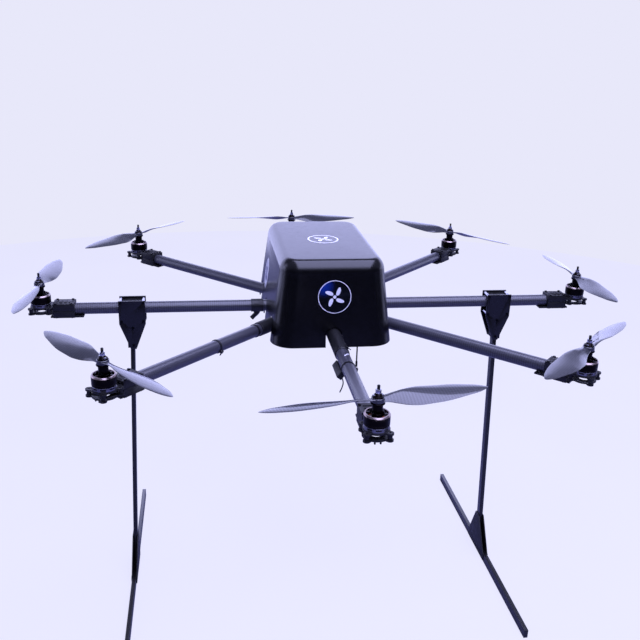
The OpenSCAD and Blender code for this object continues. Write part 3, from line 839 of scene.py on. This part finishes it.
def canopyShell():
    levels = list(canopyLevels())
    first = canopyOutline(*levels[0][:3], levels[0][4])
    bm = bmesh.new()
    bmesh.ops.create_circle(bm, segments=len(first), radius=1)
    bm.verts.ensure_lookup_table()
    ring = list(bm.verts)
    for v, p in zip(ring, first):
        v.co = (p.x, p.y, levels[0][3])
    edges = list(bm.edges)
    for wide, long, corner, height, bow in levels[1:]:
        grown = bmesh.ops.extrude_edge_only(bm, edges=edges)["geom"]
        edges = [g for g in grown if isinstance(g, bmesh.types.BMEdge)]
        nextRing = []
        for v in ring:
            nextRing.append(next(e.other_vert(v) for e in v.link_edges if e.other_vert(v) in grown))
        for v, p in zip(nextRing, canopyOutline(wide, long, corner, bow)):
            v.co = (p.x, p.y, height)
        ring = nextRing
    bmesh.ops.contextual_create(bm, geom=ring)
    bmesh.ops.recalc_face_normals(bm, faces=bm.faces)
    return bm


def slotCutters():
    r = shell["slotRadius"]
    parts = []
    for arm in rotorJoints:
        parts.append(onTube(rod(r, 90, 240, 48), arm, 0))
        parts.append(besideTube(block((90.3, -r, -60), (239.7, r, 0)), arm))
    return joined(parts)


def applied(piece):
    # Bakes the piece's modifiers into its mesh
    shape = piece.evaluated_get(bpy.context.evaluated_depsgraph_get())
    mesh = bpy.data.meshes.new_from_object(shape)
    piece.modifiers.clear()
    old = piece.data
    piece.data = mesh
    bpy.data.meshes.remove(old)


def addCanopy():
    bm = canopyShell()
    bmesh.ops.solidify(bm, geom=bm.faces, thickness=shell["wall"])
    canopy = makePiece("gloss_canopy", bm, [canopyAbs], "canopy", "canopy_abs", ["canopy"])
    cutterMesh = bpy.data.meshes.new("slotCutter")
    cutters = moved(slotCutters(), Matrix.Scale(mm, 4))
    cutters.to_mesh(cutterMesh)
    cutters.free()
    cutter = bpy.data.objects.new("slotCutter", cutterMesh)
    bpy.context.scene.collection.objects.link(cutter)
    cut = canopy.modifiers.new("slots", "BOOLEAN")
    cut.object, cut.operation, cut.solver, cut.use_self = cutter, "DIFFERENCE", "EXACT", True
    applied(canopy)
    bpy.data.objects.remove(cutter)
    return canopy


badge = {"radius": 34.0, "ring": 1.3, "topRing": 3.2, "film": 0.25, "rotorReach": 21.0}
onWall = Matrix.Rotation(math.pi / 2 - math.atan2(shell["lean"], rollStart - canopyLow.z), 4, "X")
badgePlaces = {
    "front": Matrix.Translation((0, -0.187, 0.761)) @ onWall,
    "top": Matrix.Translation((0.0, -0.008, canopyHigh.z * mm)),
    "left": Matrix.Translation((-0.117, 0.06, 0.738)) @ turnZ(-90) @ onWall,
    "right": Matrix.Translation((0.117, 0.06, 0.738)) @ turnZ(90) @ onWall,
}


def badgeDisc(radius, low, high):
    steps = [k / 6 * (radius - 0.4) for k in range(7)]
    return spun([(r, high) for r in steps] + [(radius, high - 0.1), (radius, low)]
                + [(r, low) for r in reversed(steps)], 72)


def badgeRing(outer, inner, low, high):
    return spun([(inner, low), (outer, low), (outer, high), (inner, high)], 72)


def badgeRotor(low, high):
    # A four-bladed rotor sign: curved leaf-shaped blades round a small hub
    parts = [rod(3.4, low, high, 24)]
    for k in range(4):
        leaf = bmesh.new()
        bmesh.ops.create_circle(leaf, cap_ends=True, segments=28, radius=1)
        for v in leaf.verts:
            x = 5 + (badge["rotorReach"] - 5) * (v.co.x + 1) / 2
            bend = 5.5 * ((v.co.x + 1) / 2) ** 1.5
            v.co = (x, v.co.y * 4.2 + bend, high)
        sides = bmesh.ops.extrude_face_region(leaf, geom=leaf.faces)["geom"]
        bmesh.ops.translate(leaf, vec=(0, 0, low - high), verts=pointsOf(sides))
        bmesh.ops.recalc_face_normals(leaf, faces=leaf.faces)
        parts.append(moved(leaf, turnZ(45 + 90 * k)))
    return joined(parts)


def stuckOn(bm, canopy, place):
    # Lays a flat decal on the canopy: each point drops along the badge's axis to the wall below it
    axis = place.to_3x3() @ Vector((0, 0, 1))
    for v in bm.verts:
        start = place @ (Vector((v.co.x, v.co.y, 15)) * mm)
        found, hit, normal, face = canopy.ray_cast(start, -axis)
        lift = v.co.z * mm
        v.co = (hit + axis * lift) / mm if found else (start + axis * (lift - 15 * mm)) / mm
    return bm


def addBadges(canopy):
    film, radius = badge["film"], badge["radius"]
    for side, place in badgePlaces.items():
        plain = side == "top"  # the top badge is lines alone, with no disc under them
        ringIn = radius - badge["topRing" if plain else "ring"]
        ground = [] if plain else [(badgeDisc(radius, -0.1, film), 0)]
        lines = [(badgeRing(radius - 0.5, ringIn - 0.5, 0.05, film + 0.08), 1),
                 (badgeRotor(0.05, film + 0.08), 1)]
        bm = stuckOn(joined(ground + lines), canopy, place)
        inks = [whiteInk, navyPaintedGlowInk] if side in ("left", "right") else [navyPaintedGlowInk, whiteInk]
        makePiece("badge_" + side, bm, inks, "canopy", "canopy_abs")


canopy = addCanopy()
addBadges(canopy)
print("canopy ready")


def numbered(*rules):
    # The material number of the first rule that a solid's box passes, else 0
    return lambda low, high: next((k + 1 for k, rule in enumerate(rules) if rule(low, high)), 0)


def slotOf(node):
    return next(part["material_slot"] for part in frame["record"]["subparts"] if part["node"] == node)


def addCopies():
    # CAD shapes that are right as they are, with softened edges and their real finishes
    copies = {
        "lower_plate": (0.35, [weavePlate], None),
        "upper_plate": (0.35, [weavePlate], None),
        "battery_tray": (0.35, [weavePlate], None),
        "hub_clamps": (0.7, [nylon], None),
        "canopy_posts": (0.5, [aluminium, nickel], numbered(lambda a, b: b.x - a.x > 11)),
        "screws_and_standoffs": (0.25, [zincSteel, blackSteel],
                                 numbered(lambda a, b: a.xy.length > 400)),
        "radio_receiver": (0.5, [nylon, rubber], numbered(lambda a, b: b.x - a.x < 8)),
    }
    for node, (width, finishes, pick) in copies.items():
        bm = softCopy(node, width, pick)
        makePiece(node + "_detail", bm, finishes, "airframe", slotOf(node), [node])


# Heights that the boards and the battery stand on
bay = {"tray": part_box("battery_tray")[1].z / mm, "plate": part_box("upper_plate")[1].z / mm}


def standing(bm, x, y, z):
    return moved(bm, Matrix.Translation((x, y, z)))


def addSpeedControllers():
    # Eight motor controllers in shrink sleeve, each with a finned heat sink and two capacitors
    bodies = []
    for k in range(8):
        fins = [(block((60, -8 + 3.2 * f, 13.2), (92, -6.8 + 3.2 * f, 17.5), 0.2), 1) for f in range(6)]
        parts = [(block((52, -11, 4), (100, 11, 12), 1.6, 3), 0),
                 (block((60, -8, 12.05), (92, 8, 13.3), 0.3), 1),
                 (block((70, -7, 0.05), (82, 7, 3.95), 0.4), 2)] + fins
        for y in (-5, 5):
            can = moved(rod(3.5, 0, 13, 20, 0.5), Matrix.Rotation(math.radians(90), 4, "Y"))
            parts.append((standing(can, 38.5, y, 9), 3))
        bodies.append((joined(parts), 22.5 + 45 * k))
    for k, (bm, angle) in enumerate(bodies):
        place = Matrix.Translation((0, 0, bay["plate"] * mm)) @ turnZ(angle)
        makePiece("speedController_%d" % (k + 1), bm, [moduleSkin, aluminium, rubber, capacitorSleeve],
                  "airframe", "heat_shrink", ["speed_controllers"] if k == 0 else (), place)


def addPowerBoard():
    parts = [(block((-29, -29, 5.1), (29, 29, 6.7), 0.3), 0)]
    parts += [(standing(rod(3, 0.05, 5, 6, 0.3), x, y, 0), 1) for x in (-24, 24) for y in (-24, 24)]
    parts += [(standing(rod(2.6, 6.75, 8.4, 20, 0.3), x, y, 0), 1) for x in (-24, 24) for y in (-24, 24)]
    parts += [(block((-9, -8, 6.75), (9, 8, 14), 0.8), 2)]
    parts += [(standing(rod(2.2, 14, 16, 20, 0.2), x, 0, 0), 3) for x in (-4, 4)]
    for k in range(16):  # solder pads round the edge, two for each controller
        pad = block((20.5, -1.6, 6.75), (25.5, 1.6, 7.4), 0.25)
        parts.append((moved(pad, turnZ(22.5 * k + 11.25)), 1))
    place = Matrix.Translation((0, 0, bay["plate"] * mm))
    makePiece("powerBoard", joined(parts), [boardGreen, zincSteel, yellowNylon, brass], "airframe",
              "circuit_board", ["power_board"], place)


def addFlightController():
    parts = [(block((-15, -15, 0.05), (15, 15, 3.9), 0.8), 1),
             (block((-22, -21, 4), (22, 21, 18), 2.5, 3), 0),
             (block((-16, -12, 18.05), (16, 16, 18.5), 0.2), 4)]
    for k in range(6):
        x = -15 + 6 * k
        parts.append((block((x - 2, -20, 18.1), (x + 2, -14, 21), 0.3), 2))
        for y in (-18.6, -17, -15.4):
            parts.append((block((x - 0.3, y - 0.3, 21), (x + 0.3, y + 0.3, 24), 0.1), 3))
    place = Matrix.Translation((0, -0.124, bay["tray"] * mm))
    makePiece("flightController", joined(parts), [nylon, rubber, whiteAbs, brass, aluminium], "airframe",
              slotOf("flight_controller"), ["flight_controller"], place)


def addSatelliteReceiver():
    dome = [(0, 6.05), (24, 6.05), (25.6, 6.6), (26, 8), (26, 11.5), (25, 13.6), (22, 15.2), (16, 16.1),
            (8, 16.45), (0, 16.5)]
    parts = [(spun(dome, 64), 0), (rod(12, 0.05, 6, 40, 0.6), 1)]
    place = Matrix.Translation((0, 0.124, bay["tray"] * mm))
    makePiece("satelliteReceiver", joined(parts), [whiteAbs, rubber], "airframe", "white_plastic",
              ["gps_receiver"], place)


pack = {"wide": 76.0, "long": 188.0, "high": 64.0, "round": 5.0, "cells": 6, "groove": 0.5}


def addBattery():
    # Six stacked pouch cells under one film: the film dips a little between the cells
    w, l, h = pack["wide"] / 2, pack["long"] / 2, pack["high"]
    bm = bmesh.new()
    bmesh.ops.create_cube(bm, size=1)
    moved(bm, Matrix.Translation((0, 0, h / 2)) @ Matrix.Diagonal((2 * w, 2 * l, h, 1)))
    soften(bm, pack["round"], 5)
    for k in range(1, 60):
        z = h * k / 60
        bmesh.ops.bisect_plane(bm, geom=bm.verts[:] + bm.edges[:] + bm.faces[:], plane_co=(0, 0, z),
                               plane_no=(0, 0, 1))
    for v in bm.verts:
        dip = pack["groove"] * (0.5 + 0.5 * math.cos(2 * math.pi * pack["cells"] * v.co.z / h)) ** 3
        if pack["round"] < v.co.z < h - pack["round"]:
            v.co.x -= math.copysign(dip, v.co.x) if abs(v.co.x) > w - 1.5 else 0
            v.co.y -= math.copysign(dip, v.co.y) if abs(v.co.y) > l - 1.5 else 0
    socket = block((-12, -l - 6, 38), (12, -l + 1, 48), 1.0)
    blades = [(moved(rod(3.2, 0, 7.5, 20, 0.3), Matrix.Translation((x, -l - 6.4, 43))
                     @ Matrix.Rotation(math.radians(-90), 4, "X")), 2) for x in (-5.5, 5.5)]
    place = Matrix.Translation((0, 0, (bay["tray"] + 0.2) * mm))
    makePiece("batteryPack", joined([(bm, 0), (socket, 1)] + blades), [batteryFilm, yellowNylon, brass],
              "airframe", "battery_wrap", ["battery"], place)


def addStraps():
    # Hook-and-loop straps round tray and battery, each with its end lapped over a buckle
    parts = []
    w, top, low = pack["wide"] / 2 + 1.6, pack["high"] + 0.7, -4.0
    for y in (-50, 50):
        bm = bmesh.new()
        bmesh.ops.create_grid(bm, x_segments=1, y_segments=1, size=0.5)
        for v in bm.verts:
            v.co = (v.co.x * 2 * w, y, low + (top - low) * (v.co.y + 0.5))
        corners = bm.verts[:]
        bmesh.ops.bevel(bm, geom=corners, offset=5, offset_type="OFFSET", segments=6, profile=0.5,
                        affect="VERTICES", clamp_overlap=True, material=-1)
        bmesh.ops.delete(bm, geom=bm.faces[:], context="FACES_ONLY")
        band = bmesh.ops.extrude_edge_only(bm, edges=bm.edges[:])["geom"]
        bmesh.ops.translate(bm, vec=(0, 20, 0), verts=pointsOf(band))
        bmesh.ops.translate(bm, vec=(0, -10, 0), verts=bm.verts)
        bmesh.ops.recalc_face_normals(bm, faces=bm.faces)
        bmesh.ops.solidify(bm, geom=bm.faces[:], thickness=-1.2)
        parts.append(bm)
        parts.append(block((6, y - 9.5, top + 1.25), (w - 6, y + 9.5, top + 2.2), 0.4))
        buckle = Matrix.Translation((4, y, top + 1.9)) @ Matrix.Rotation(math.radians(90), 4, "X")
        parts.append((moved(rod(1.3, -12, 12, 16, 0.3), buckle), 1))
    place = Matrix.Translation((0, 0, (bay["tray"] + 0.2) * mm))
    makePiece("batteryStraps", joined(parts), [strapWeb, zincSteel], "airframe", "webbing",
              ["battery_straps"], place)


addCopies()
addSpeedControllers()
addPowerBoard()
addFlightController()
addSatelliteReceiver()
addBattery()
addStraps()
print("centre frame and electronics ready")

# How far each part's edges are rounded
gear = {"cheek": 0.6, "bar": 1.2}


def addLandingGear():
    for side in ("left", "right"):
        bracket = softCopy("leg_bracket_" + side, gear["cheek"], bracketFinish)
        makePiece("legBracket_" + side, bracket, [nylon, zincSteel, cheekPlate, blackSteel], "airframe",
                  slotOf("leg_bracket_" + side), ["leg_bracket_" + side])
        leg = softCopy("leg_" + side, gear["bar"])
        makePiece("legBar_" + side, leg, [weaveBar], "airframe", "carbon_bar", ["leg_" + side])
        skid = softCopy("skid_" + side, gear["bar"], skidFinish)
        makePiece("skidBar_" + side, skid, [weaveBar, rubber, nylon], "airframe", "carbon_bar",
                  ["skid_" + side])


def bracketFinish(low, high):
    # Thin cheeks, small screws, then the washers and spacers; the block round the tube is the rest
    size = high - low
    if size.y < 2.5:
        return 3
    if size.x < 7 and size.z < 7:
        return 1
    return 2 if size.y < 4 else 0


def skidFinish(low, high):
    # Rubber end caps, the long bar, and the gusset plates
    size = high - low
    if size.y < 5:
        return 1
    return 0 if size.y > 300 else 2


addLandingGear()
print("landing gear ready")

# Distances on the arms are from the airframe's centre; angles run round the tube from its top


def sleeve(length, radius, ribs):
    outline = [(tubeRadius + 0.05, 0), (radius - 0.8, 0), (radius, 0.8)]
    groove = radius - 0.9
    for k in range(ribs):
        z = 2 + (length - 4) * (k + 0.5) / ribs
        step = (length - 4) / ribs / 4
        outline += [(radius, z - step), (groove, z - step / 2)]
        outline += [(groove, z + step / 2), (radius, z + step)]
    outline += [(radius, length - 0.8), (radius - 0.8, length), (tubeRadius + 0.05, length)]
    return spun(outline, 56)


def cableTie():
    # Band with a ratchet head and a short cut tail, head at the top before it is turned
    r, half = tubeRadius, 1.8
    band = spun([(r + 0.05, -half), (r + 1.3, -half), (r + 1.3, half), (r + 0.05, half)], 56)
    head = block((-r - 5.2, -3.4, -2.9), (-r - 0.6, 3.4, 2.9), 0.8, 3)
    tail = block((-r - 4.0, 3.2, -1.7), (-r - 2.8, 9.5, 1.7), 0.4)
    return joined([band, head, tail])


fittings = {
    "front": {"sleeve": (176, 292, 14.3, 0), "ties": ((358, -100), (288, -35))},
    "front_left": {"sleeve": (168, 212, 14.6, 8), "ties": ((222, 150), (333, -120))},
    "left": {"sleeve": (128, 155, 14.2, 0), "ties": ((146, 170),)},
}
module = {"low": (300, -5.5, -27), "high": (356, 5.5, -13.2), "turn": -38, "lead": 1.1,
          "path": [(356, 0, -20), (368, 2, -21), (378, 3, -24), (388, 2, -29), (398, 0, -35)]}
# A thin white dash on the front arm's tube: where it sits, its size, thickness and slant
whiteDash = {"at": 320, "around": 0.3, "long": 20, "wide": 2.2, "thick": 0.25, "turn": -38}
tapeEnd = {"path": [(138, 0, -12), (142, -1, -19), (148, -2, -25), (154, -1, -31)], "radius": 4.8}


def addFittings():
    for arm, fitted in fittings.items():
        start, end, radius, ribs = fitted["sleeve"]
        bm = onTube(sleeve(end - start, radius, ribs), arm, start)
        makePiece("shrinkSleeve_" + arm, bm, [sleeveSkin], "airframe", "heat_shrink")
        ties = [onTube(cableTie(), arm, at, turn) for at, turn in fitted["ties"]]
        makePiece("cableTies_" + arm, joined(ties), [tieNylon], "airframe", "moulded_nylon")
    box = block(module["low"], module["high"], 1.4, 3)
    bm = besideTube(joined([box, sweep(module["path"], module["lead"])]), "front", 0, module["turn"])
    makePiece("armModule_front", bm, [moduleSkin], "airframe", "heat_shrink")
    bm = besideTube(wrappedMark(), "front")
    makePiece("paintMark_front", bm, [whiteInk], "airframe", "carbon_tube")
    flap = besideTube(sweep(tapeEnd["path"], tapeEnd["radius"]), "left")
    makePiece("tapeEnd_left", flap, [sleeveSkin], "airframe", "heat_shrink")


def wrappedMark():
    # A thin white dash, cut into short lengths and wrapped round the tube
    endX, endY = whiteDash["long"] / 2, whiteDash["wide"] / 2
    mark = block((-endX, -endY, 0), (endX, endY, whiteDash["thick"]), 0.1)
    bmesh.ops.subdivide_edges(mark, edges=mark.edges[:], cuts=7, use_grid_fill=True)
    moved(mark, turnZ(whiteDash["turn"]))
    for v in mark.verts:
        around, out = v.co.y / tubeRadius + whiteDash["around"], tubeRadius + v.co.z
        v.co = (whiteDash["at"] + v.co.x, out * math.sin(around), out * math.cos(around))
    return mark


def sweep(points, radius, sides=12):
    # A round bar along a smooth curve through the points
    bm = bmesh.new()
    path = [Vector(p) for p in points]
    smooth = []
    for k in range(len(path) - 1):
        p0, p1, p2, p3 = path[max(k - 1, 0)], path[k], path[k + 1], path[min(k + 2, len(path) - 1)]
        for j in range(5):
            t = j / 5
            smooth.append(((2 * p1) + (p2 - p0) * t + (2 * p0 - 5 * p1 + 4 * p2 - p3) * t * t
                           + (3 * p1 - p0 - 3 * p2 + p3) * t ** 3) / 2)
    smooth.append(path[-1])
    edges = None
    for k, p in enumerate(smooth):
        ahead = (smooth[min(k + 1, len(smooth) - 1)] - smooth[max(k - 1, 0)]).normalized()
        place = Matrix.Translation(p) @ ahead.to_track_quat("Z", "Y").to_matrix().to_4x4()
        capped = k in (0, len(smooth) - 1)
        ring = bmesh.ops.create_circle(bm, segments=sides, radius=radius, matrix=place, cap_ends=capped)
        made = list({e for v in ring["verts"] for e in v.link_edges})
        if edges:
            bmesh.ops.bridge_loops(bm, edges=edges + made)
        edges = made
    bmesh.ops.recalc_face_normals(bm, faces=bm.faces)
    return bm


addFittings()
print("arm fittings ready")
